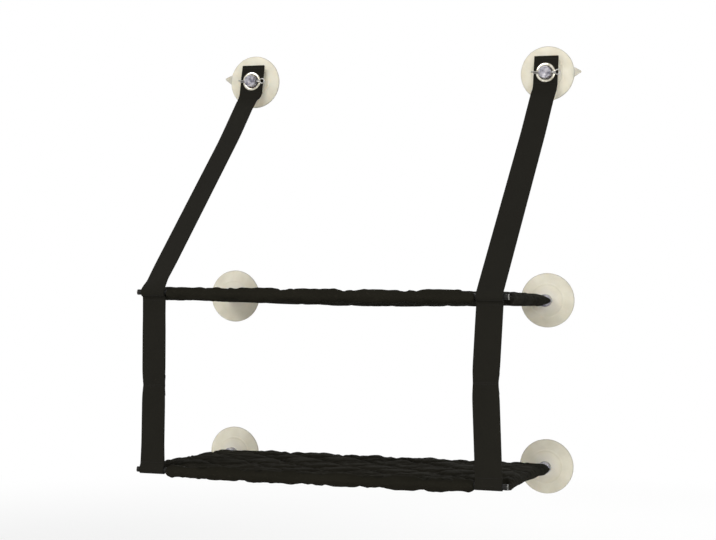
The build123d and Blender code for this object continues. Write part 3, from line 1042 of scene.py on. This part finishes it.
def lower_strap(side):
    x = strap_x(side)
    waist_z = waist_height[side]
    route, leave = loop_route()

    def place(length, across):
        y, z = route.at(length)
        rise = z - lower_axis[1]
        near = max(0.0, 1 - max(0.0, rise) / spread_height)
        waist = bell(z, waist_z, waist_reach)
        dent = waist_dent * bell(z, waist_z, dent_reach)
        gather = gather_share[side] * smooth(rise, 2 * half_drop - gather_reach, 2 * half_drop)
        width = webbing_width * (1 + spread_share * near * near - waist_share * waist - gather)
        free = smooth(rise, 0, twist_reach) * (1 - smooth(rise, 2 * half_drop - twist_reach, 2 * half_drop))
        turn = loop_twist[side] * free
        levels = (lower_axis[1], waist_z, upper_axis[1])
        shift = np.interp(z, levels, (foot_shift[side], waist_shift[side], 0))
        return Vector((x + shift, y + dent, z)) + Vector((cos(turn), sin(turn), 0)) * across * width

    strap = ribbon(f"{side}_lower_strap_loop", route.length, place, closed=True)
    next_layer = Vector((0, webbing_thickness + layer_gap, 0))

    def lap(length, across):
        return pane_side(place, waist_z + lap_length / 2 - length, across) + next_layer

    patch = ribbon(f"{side}_lap", lap_length, lap)
    bm = bmesh.new()
    bm.from_mesh(strap.data)
    bm.from_mesh(patch.data)
    bm.to_mesh(strap.data)
    bm.free()
    bpy.data.objects.remove(patch)
    rows = []
    skin = Vector((0, -webbing_thickness / 2, 0))
    stitched = (-stitched_share / 2, stitched_share / 2)

    def row(layer, z, lift, way):
        return (*[layer(place, z, across) + lift for across in stitched], (0, way, 0))

    for z in (waist_z - waist_stitch, waist_z + waist_stitch):
        rows += [row(room_side, z, skin, -1), row(pane_side, z, next_layer - skin, 1)]
    for z in (upper_axis[1] - leave - stitch_inset, lower_axis[1] + leave + stitch_inset):
        rows += [row(room_side, z, skin, -1), row(pane_side, z, -skin, 1)]
    sew(strap, rows)
    return dress(strap, "lower_straps", "webbing", f"{side}_lower_strap")


for side in sides:
    made = lower_strap(side)
    print(made.name, len(made.data.polygons), "faces")

# %% [markdown]
# Each upper strap starts at a top cup. Its end is folded back, so two layers lie behind the
# grommet, and the front one bends over the edge of the cup and runs straight down to the upper
# tube, where it wraps the front and its tail is sewn to the lower strap. The strap crosses the
# hinge of the shelf.

# %% Upper straps
bend_radius = 16.8 * mm
bend_below_cup = 19.0 * mm
doubled_below_cup = 18.5 * mm
lean_share = 1.6
lean_fade = 45.0 * mm
level_reach = 20.0 * mm
run_twist = {"left": radians(-10.5), "right": radians(1)}
twist_start = 16.0 * mm
twist_stop = 22.0 * mm
slip = {"left": -3.2 * mm, "right": -1.3 * mm}
slip_start = 18.0 * mm
slip_stop = 130.0 * mm
tail_length = 1.8 * mm
end_stitch_inset = 1.6 * mm
strap_clearance = 0.3 * mm
wrap_radius = loop_inner + webbing_thickness + strap_clearance + webbing_thickness / 2
grommet_hole = bore_radius + barrel_wall + strap_clearance


def upper_strap(side):
    node = f"{side}_upper_strap"
    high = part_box(node)[1]
    cup = cup_centre(f"top_{side}_cup")
    end_x = strap_x(side)
    face_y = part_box(f"{side}_grommet")[0].y + strap_below_flange
    front = face_y + webbing_thickness / 2
    back = front + webbing_thickness + layer_gap
    fold = (back - front) / 2
    top = high.z - webbing_thickness / 2 - fold
    bend = (front - bend_radius, cup.z - bend_below_cup)
    away = hypot(upper_axis[0] - bend[0], upper_axis[1] - bend[1])
    down = atan2(bend[1] - upper_axis[1], bend[0] - upper_axis[0])
    slope = down - asin((wrap_radius + bend_radius) / away)
    turn = pi / 2 - slope

    def on_wrap(angle):
        return (upper_axis[0] - wrap_radius * cos(angle), upper_axis[1] + wrap_radius * sin(angle))

    route = Route()
    route.line((back, cup.z - doubled_below_cup), (back, top))
    route.arc((front + fold, top), fold, pi, 0)
    route.line((front, top), (front, bend[1]))
    upright = route.length
    route.arc(bend, bend_radius, pi, pi + turn)
    route.line((bend[0] + bend_radius * cos(turn), bend[1] - bend_radius * sin(turn)), on_wrap(turn))
    arrives = route.length
    route.arc(upper_axis, wrap_radius, turn, -pinch_angle)
    end = Vector(on_wrap(-pinch_angle))
    tail = Vector((sin(pinch_angle), -cos(pinch_angle))) * tail_length
    route.line(end, end + tail)

    lean = lean_share * (cup.x - end_x) / (cup.z - upper_axis[1])

    def turn_at(z):
        return lean * smooth(top - z, 0, level_reach)

    bend_x = cup.x - lean * bend_below_cup

    def place(length, across):
        y, z = route.at(length)
        run = min(1.0, max(0.0, (length - upright) / (arrives - upright)))
        middle = bend_x + (end_x - bend_x) * run if length > upright else cup.x + lean * (z - cup.z)
        past = length - upright
        middle += slip[side] * smooth(past, 0, slip_start) * (1 - smooth(past, slip_start, slip_stop))
        turned = across * webbing_width * turn_at(z) * (1 - smooth(past, 0, lean_fade))
        held = smooth(past, 0, twist_start) * (1 - smooth(length, arrives - twist_stop, arrives))
        twist = run_twist[side] * held
        width_way = Vector((cos(twist), sin(twist) * sin(slope), -sin(twist) * cos(slope)))
        width = webbing_width * (1 - gather_share[side] * smooth(length, arrives - gather_reach, arrives))
        return Vector((middle, y, z - turned)) + width_way * across * width

    strap = ribbon(f"{side}_upper_strap_run", route.length, place)
    hole = Vector((cup.x, 0, cup.z))
    cut_hole(strap, grommet_hole, hole + Vector((0, back + 5 * mm, 0)), hole + Vector((0, front - 5 * mm, 0)))
    reach = webbing_width * stitched_share / 2
    skin = front - webbing_thickness / 2
    behind = back + webbing_thickness / 2
    rows = []
    for z in (top - stitch_inset, cup.z - doubled_below_cup + end_stitch_inset):
        x = cup.x + lean * (z - cup.z)
        for y, way in ((skin, -1), (behind, 1)):
            rise = reach * turn_at(z)
            rows.append(((x - reach, y, z + rise), (x + reach, y, z - rise), (0, way, 0)))
    out = Vector((0, -cos(pinch_angle), -sin(pinch_angle)))
    spot = end + tail * 0.55
    sewn = Vector((end_x, spot.x, spot.y)) + out * (webbing_thickness / 2)
    rows.append((sewn - Vector((reach, 0, 0)), sewn + Vector((reach, 0, 0)), out))
    sew(strap, rows)
    stop = (end_x, upper_axis[0] + wrap_radius, upper_axis[1] + wrap_radius)
    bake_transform(strap)
    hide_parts(node)
    print(strap.name, "slopes at", round(degrees(slope), 1), "degrees,", round(route.length, 3), "m long")


for side in sides:
    upper_strap(side)

# %% [markdown]
# The covers are black polyester, quilted to a layer of wadding in a diamond pattern and sewn
# round the frame. The cloth is a fine tight weave, dull from every side. The UV map of a cover
# is its flat cut in metres, so the seams and their small stitches are lines at a slant in it.

# %% Cover finish
quilt_width = 90.0 * mm
seam_spacing = quilt_width / sqrt(2)
stitch_pitch = 4.0 * mm
cloth_yarn = 0.9 * mm


def quilted_polyester():
    finish = Finish("quilted_polyester")
    u, v = finish.parts(finish.map())[:2]
    rising = (u + v) / sqrt(2)
    falling = (u - v) / sqrt(2)
    seams = rising.near_line(seam_spacing).math("MINIMUM", falling.near_line(seam_spacing))
    on_top = v.step(5.0 * mm, 11.0 * mm)
    # The seam valleys on top are painted darker: painted shade between the pillows.
    valley = (1 - seams.step(0.0, 5.0 * mm)) * on_top
    row = (1 - seams.step(0.35 * mm, 0.7 * mm)) * on_top
    dashes = (u * sqrt(2)).wave(stitch_pitch).step(0.35, 0.6)
    stitches = row * dashes
    twill = (u + v).wave(cloth_yarn) * 0.5 + (u - v).wave(cloth_yarn) * 0.5
    cloud = finish.noise(finish.place(), 14.0, 5.0)
    lint = finish.noise(finish.place(), 260.0, 3.0)
    base = finish.mix(cloud, tint(25, 24, 19), tint(35, 33, 27))
    dark = finish.mix(valley * 0.6, base, tint(14, 13, 11))
    lit = finish.mix(lint.step(0.55, 0.8) * 0.3, dark, tint(48, 46, 38))
    finish.set(Base_Color=finish.mix(stitches * 0.8, lit, tint(40, 38, 33)))
    finish.set(Roughness=cloud * 0.12 + 0.82, Sheen_Weight=0.008, Sheen_Roughness=0.5)
    finish.set(Sheen_Tint=tint(190, 186, 168), Specular_IOR_Level=0.01)
    return finish.bump(twill * 0.2 + lint * 0.25 + stitches, 0.18 * mm, 0.7)


quilting = quilted_polyester()
print("seams every", round(seam_spacing / mm, 1), "mm")

# %% [markdown]
# The flat plan of a cover has notches for the straps and for the knobs of the cups. Its
# thickness swells between the seams and falls to nothing at the outline, where top and bottom
# are sewn together. So the pad starts as a flat grid cut along the outline, gets a second layer,
# and each point is lifted or lowered to its surface. Distances to the outline and to the seams
# are worked out for all points at once.

# %% Pad shape
arm = hypot(upper_axis[0] - rod_y, upper_axis[1])
tilt = atan2(upper_axis[1], rod_y - upper_axis[0])
cover_low, cover_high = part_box("upper_cover")
cover_half = (cover_high.x - cover_low.x) / 2
front_roll = 10.4 * mm
rear_roll = 9.0 * mm
side_roll = 4.5 * mm
strap_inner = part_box("right_lower_strap")[0].x
sleeve_half = strap_inner + 0.8 * mm
hem_inner = strap_inner + webbing_width + 1.0 * mm
notch_y = -arm + 40.0 * mm
hem_front = -arm + 16.0 * mm
rear_corner = -18.0 * mm
knob_notch = cup_centre("upper_right_cup").x - knob_radius - 3.2 * mm
tee_x = (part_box("upper_right_front_tee")[0].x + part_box("upper_right_front_tee")[1].x) / 2
half_outline = [
    (sleeve_half, -arm - front_roll), (sleeve_half, notch_y), (hem_inner, notch_y),
    (hem_inner, hem_front), (cover_half, hem_front), (cover_half, rear_corner),
    (knob_notch, rear_corner), (knob_notch, rear_roll),
]
outline = half_outline + [(-x, y) for x, y in reversed(half_outline)]
pillow_half = 7.9 * mm
seam_half = 4.4 * mm
front_pillow_half = 9.0 * mm
front_seam_half = 6.8 * mm
front_side_half = 9.0 * mm
rear_side_half = 6.6 * mm
flank = 12.0 * mm
dome_share = 0.35
under_share = 0.5
front_hold = 0.9
quilt_line_y = {"upper": -arm - 5.5 * mm, "lower": -arm - 12.5 * mm}
quilt_shift = {"upper": 1.5 * mm, "lower": -51.0 * mm}
front_drop = 1.2 * mm
belly = 4.4 * mm
side_draw_in = 4.5 * mm
free_half = tee_x - 4.0 * mm
side_blend = (cover_half - 28.0 * mm, cover_half - 14.0 * mm)
least_half = 0.3 * mm


def side_distance(x, y, start, end):
    """The distance from each point to one side of the plan."""
    (ax, ay), (bx, by) = start, end
    along = np.clip(((x - ax) * (bx - ax) + (y - ay) * (by - ay)) / ((bx - ax) ** 2 + (by - ay) ** 2), 0, 1)
    return np.hypot(x - ax - along * (bx - ax), y - ay - along * (by - ay))


plan_sides = list(zip(outline, outline[1:] + outline[:1]))


def outline_distance(x, y):
    return np.min([side_distance(x, y, start, end) for start, end in plan_sides], axis=0)


def rounding(x, y):
    """1 inside and 0 at the outline: round at the front and the back, blunt at the sides."""
    least = np.ones(x.shape)
    for start, end in plan_sides:
        roll = {-arm - front_roll: front_roll, rear_roll: rear_roll}.get(start[1], side_roll)
        roll = roll if start[1] == end[1] else side_roll
        power = 2 if roll > side_roll else 3.5
        share = 1 - np.clip(side_distance(x, y, start, end) / roll, 0, 1)
        least = np.minimum(least, (1 - share ** power) ** (1 / power))
    return least


def quilt_rows(x, y, shelf):
    """Which row of diamonds a point is in, counted along both slants; seams are whole numbers."""
    start = quilt_width / 2 + quilt_shift[shelf]
    return [(x - start + way * (y - quilt_line_y[shelf])) / quilt_width for way in (1, -1)]


def seam_distance(x, y, shelf):
    """The distance from each point to the nearest quilting seam."""
    nearest = np.full(x.shape, 1.0)
    for row in quilt_rows(x, y, shelf):
        nearest = np.minimum(nearest, np.abs(row - np.round(row)) * seam_spacing)
    return nearest


def seam_hold(y):
    """The seams pull less on the face of the front roll, where the tube fills the cover."""
    return 1 - front_hold * smooth(-y, arm - 1 * mm, arm + 6 * mm)


def half_thickness(x, y, shelf, pull):
    """Half the pad's thickness, where the seams pull in by a share of their full depth."""
    distance = seam_distance(x, y, shelf)
    plateau = np.sqrt(1 - (1 - np.clip(distance / flank, 0, 1)) ** 2)
    dome = np.sqrt(1 - (1 - np.clip(2 * distance / seam_spacing, 0, 1)) ** 2)
    front = smooth(-y, arm - 34 * mm, arm - 6 * mm)
    domed = dome_share * (1 - front)
    low = (1 - domed * dome - (1 - domed) * plateau) * seam_hold(y) * pull
    seam = seam_half + (front_seam_half - seam_half) * front
    pillow = pillow_half + (front_pillow_half - pillow_half) * front
    half = pillow - (pillow - seam) * low
    beside = smooth(np.abs(x), *side_blend)
    side = rear_side_half + (front_side_half - rear_side_half) * np.clip(-y / arm, 0, 1)
    return np.maximum(half, side * beside) * rounding(x, y)


def middle_height(x, y):
    """How far the pad's middle hangs below the plane of the frame."""
    share = np.clip(-y / arm, 0, 1)
    between = np.clip(1 - (x / free_half) ** 2, 0, 1)
    return -front_drop * smooth(share, 0.55, 1.0) - belly * between * (4 * share * (1 - share)) ** 0.7


def slice_grid(bm, spot, normal):
    geometry = bm.verts[:] + bm.edges[:] + bm.faces[:]
    bmesh.ops.bisect_plane(bm, geom=geometry, dist=weld, plane_co=spot, plane_no=normal)


def flat_pad(shelf, cell=4.0 * mm):
    """The closed pad in flat axes, with x along the rod and the rod at y = 0."""
    front, rear = -arm - front_roll, rear_roll
    size = Matrix.Diagonal((2 * cover_half, rear - front, 1.0, 1.0))
    place = Matrix.Translation((0, (front + rear) / 2, 0)) @ size
    bm = bmesh.new()
    columns, rows = round(2 * cover_half / cell), round((rear - front) / cell)
    bmesh.ops.create_grid(bm, x_segments=columns, y_segments=rows, size=0.5, matrix=place)
    for cut in (sleeve_half, hem_inner, knob_notch):
        for x in (cut, -cut):
            slice_grid(bm, (x, 0, 0), (1, 0, 0))
    for y in (notch_y, hem_front, rear_corner):
        slice_grid(bm, (0, y, 0), (0, 1, 0))
    gone = []
    for face in bm.faces:
        middle = face.calc_center_median()
        x, y = abs(middle.x), middle.y
        strap_notch = x > sleeve_half and y < (notch_y if x < hem_inner else hem_front)
        if strap_notch or (x > knob_notch and y > rear_corner):
            gone.append(face)
    bmesh.ops.delete(bm, geom=gone, context="FACES")
    top = bmesh.ops.extrude_face_region(bm, geom=bm.faces[:])["geom"]
    bmesh.ops.translate(bm, verts=[v for v in top if isinstance(v, bmesh.types.BMVert)], vec=(0, 0, mm))
    spots = np.array([v.co for v in bm.verts])
    x, y = spots[:, 0], spots[:, 1]
    upper = spots[:, 2] > mm / 2
    half = np.maximum(half_thickness(x, y, shelf, np.where(upper, 1.0, under_share)), least_half)
    z = middle_height(x, y) + np.where(upper, half, -half)
    for vert, height in zip(bm.verts, z):
        vert.co.z = height
    bmesh.ops.recalc_face_normals(bm, faces=bm.faces)
    return add_piece(f"{shelf}_quilted_cover", bm, [quilting])


pads = {shelf: flat_pad(shelf) for shelf in shelves}
print("flat pads:", [len(pad.data.polygons) for pad in pads.values()], "faces")

# %% [markdown]
# Real quilting is not a smooth wave: the cloth is a little larger than the wadding under it and
# puckers where the seams hold it. A cloth simulation finds such a shape. The pad is remeshed to
# even squares, the points on the seams and along the outline are held, and a small pressure
# blows up the rest of a cloth that is a twentieth too large. Movement is capped so that the pad
# keeps its size.

# %% Blow up the pad
voxel = 4.6 * mm
sim_frames = 20
pad_pressure = 2.4
cloth_excess = 0.05
most_movement = 2.4 * mm
held_by_seam = 2.6 * mm
held_by_edge = 1.5 * mm
cloth_settings = {
    "quality": 5, "mass": 0.2, "tension_stiffness": 12, "compression_stiffness": 12,
    "shear_stiffness": 6, "bending_stiffness": 0.25, "use_pressure": True,
    "uniform_pressure_force": pad_pressure, "shrink_min": -cloth_excess,
}


def blow_up(piece, shelf):
    start = mesh_spots(piece)
    x, y = start[:, 0], start[:, 1]
    held = piece.vertex_groups.new(name="sewn")
    on_seam = seam_distance(x, y, shelf) < held_by_seam
    at_edge = outline_distance(x, y) < held_by_edge
    held.add([int(i) for i in np.flatnonzero(on_seam | at_edge)], 1.0, "REPLACE")
    cloth = piece.modifiers.new("cloth", "CLOTH")
    set_all(cloth.settings, cloth_settings)
    cloth.settings.effector_weights.gravity = 0
    cloth.settings.vertex_group_mass = held.name
    cloth.point_cache.frame_start = 1
    cloth.point_cache.frame_end = sim_frames
    for number in range(1, sim_frames + 1):
        scene.frame_set(number)
    bake_modifiers(piece)
    scene.frame_set(1)
    moved = mesh_spots(piece) - start
    length = np.linalg.norm(moved, axis=1, keepdims=True)
    allowed = most_movement * np.tanh(length / most_movement)
    set_spots(piece, start + moved * allowed / np.maximum(length, 1e-9))
    print("cloth moved up to", round(float(length.max()) / mm, 1), "mm")


for shelf, pad in pads.items():
    bake_modifiers(modify(pad, "REMESH", mode="VOXEL", voxel_size=voxel, use_smooth_shade=True))
    print("even pad:", len(pad.data.polygons), "faces")
    blow_up(pad, shelf)

# %% [markdown]
# One subdivision makes the squares fine enough for the details that are narrower than a remesh
# can hold: the tight line of each seam, the short puckers that fan out from it, the sleeve seam
# behind the front tube, and the longer creases that a hand leaves in quilted cloth. They are all
# small moves along the normals, worked out for all points at once from the flat plan.

# %% Seams and creases
seam_sink = 2.2 * mm
seam_sink_width = 3.0 * mm
pucker_height = 0.55 * mm
pucker_period = 11.0 * mm
pucker_reach = 9.0 * mm
crease_height = 0.5 * mm
crease_seed = {"upper": 0.4, "lower": 30.4}
fine_share = 0.3
fan_height = 0.8 * mm
fan_back = 22.0 * mm
fan_reach = 55.0 * mm
fan_folds = 15
sleeve_seam_y = -arm + 15.0 * mm
sleeve_sink = 1.5 * mm
sleeve_sink_width = 6.0 * mm
ridge_y = -arm + 1.0 * mm
ridge_reach = 9.0 * mm
ridge_share = 0.7
roll_fold_height = 0.8 * mm


def puckers(x, y, shelf):
    """Short folds across each seam, fading away from it."""
    total = np.zeros(x.shape)
    for way, row in zip((1, -1), quilt_rows(x, y, shelf)):
        distance = np.abs(row - np.round(row)) * seam_spacing
        along = (x - way * y) / sqrt(2)
        drift = 1.6 * np.sin(along / (31 * mm) + 2.1 * np.round(row))
        fold = np.sin(2 * pi * along / pucker_period + drift + 1.7 * np.round(row))
        total += fold * np.exp(-distance / pucker_reach) * smooth(distance, 0, 2 * mm)
    return total


def ruffle(x, y, x_size, y_size, seed):
    """Rounded folds with sharp valleys between them, of a given size along x and y."""
    spots = zip(x / x_size, y / y_size)
    return 2 * np.abs([noise.noise(Vector((a, b, seed))) for a, b in spots])


def creases(x, y, seed):
    """Soft folds, which run along the shelf in its middle and along its sides near them."""
    wander = 7 * mm * np.sin(x / (43 * mm) + seed) + 5 * mm * np.sin(x / (19 * mm) + 1.3)
    along = ruffle(x, y + wander, 70 * mm, 28 * mm, seed)
    along = along + fine_share * ruffle(x, y - wander, 40 * mm, 14 * mm, seed + 3.3)
    beside = ruffle(x + 0.2 * y, y, 20 * mm, 90 * mm, seed + 6.9)
    beside = beside + fine_share * ruffle(x, y, 11 * mm, 50 * mm, seed + 9.7)
    side = smooth(np.abs(x), 150 * mm, 225 * mm)
    return along * (1 - side) + beside * side


def fans(x, y):
    """Folds that spread from the places where the straps pull."""
    inward, back = strap_inner - np.abs(x), y + arm - fan_back
    away = np.hypot(inward, back)
    turn = np.arctan2(back, inward)
    folds = np.sin(turn * fan_folds + np.sin(turn * 3.1))
    return folds * np.exp(-away / fan_reach) * smooth(away, 8 * mm, 22 * mm)


def sew_quilt(piece, shelf):
    spots = mesh_spots(piece)
    normals = np.empty(len(piece.data.vertices) * 3)
    piece.data.vertices.foreach_get("normal", normals)
    normals = normals.reshape(-1, 3)
    x, y, z = spots.T
    distance = seam_distance(x, y, shelf)
    inside = smooth(outline_distance(x, y), 1 * mm, 9 * mm)
    seed = crease_seed[shelf]
    ridge = bell(y, ridge_y, ridge_reach)
    sink = seam_sink * bell(distance, 0, seam_sink_width) * (0.3 + 0.7 * inside) * seam_hold(y)
    sink *= np.where(normals[:, 2] < 0, under_share, 1 + ridge_share * ridge)
    sink += sleeve_sink * bell(y, sleeve_seam_y, sleeve_sink_width) * (np.abs(x) < sleeve_half)
    lift = pucker_height * puckers(x, y, shelf) * inside
    folds = creases(x, y - z, seed) - 0.65
    lift += crease_height * folds * smooth(distance, 1 * mm, 9 * mm) * (0.35 + 0.65 * inside)
    lift += fan_height * fans(x, y) * inside
    face = smooth(-y, arm + 1 * mm, arm + 6 * mm) * (np.abs(x) < sleeve_half - 3 * mm)
    lift += roll_fold_height * (ruffle(x, z + 0.02 * x, 75 * mm, 9 * mm, seed + 5) - 0.5) * face
    set_spots(piece, spots + normals * (lift - sink)[:, None])


for shelf, pad in pads.items():
    bake_modifiers(modify(pad, "SUBSURF", levels=1, render_levels=1))
    sew_quilt(pad, shelf)
    print("sewn pad:", len(pad.data.polygons), "faces")

# %% [markdown]
# The flat plan of each pad is written to its UV map first, while the pad is still flat. Then the
# sides of the cover draw in between the corners, because the quilting pulls on them, and the pad
# is tilted onto its shelf. The two covers are sewn alike, but their seams start at other places
# and their folds differ, so they do not look like copies. Each stands for its solid and rides on
# its shelf.

# %% Place the covers
def draw_in_sides(piece):
    spots = mesh_spots(piece)
    x, y = spots[:, 0], spots[:, 1]
    share = np.clip((y - notch_y) / (rear_corner - notch_y), 0, 1)
    pull = side_draw_in * 4 * share * (1 - share) * smooth(np.abs(x), free_half, cover_half)
    spots[:, 0] = x - np.sign(x) * pull
    set_spots(piece, spots)


def lay_on_shelf(piece, shelf):
    low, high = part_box(f"{shelf}_rear_rod")
    axis = Vector((0, (low.y + high.y) / 2, (low.z + high.z) / 2))
    piece.data.transform(Matrix.Translation(axis) @ Matrix.Rotation(-tilt, 4, "X"))
    piece.data.update()
    dress(piece, f"{shelf}_shelf", "quilted_cover", f"{shelf}_cover")


for shelf, pad in pads.items():
    flat = mesh_spots(pad)
    lay_map(pad, flat[:, 0] - quilt_width / 2 - quilt_shift[shelf], flat[:, 1] - quilt_line_y[shelf])
    draw_in_sides(pad)
    lay_on_shelf(pad, shelf)
    print(pad.name, len(pad.data.polygons), "faces")
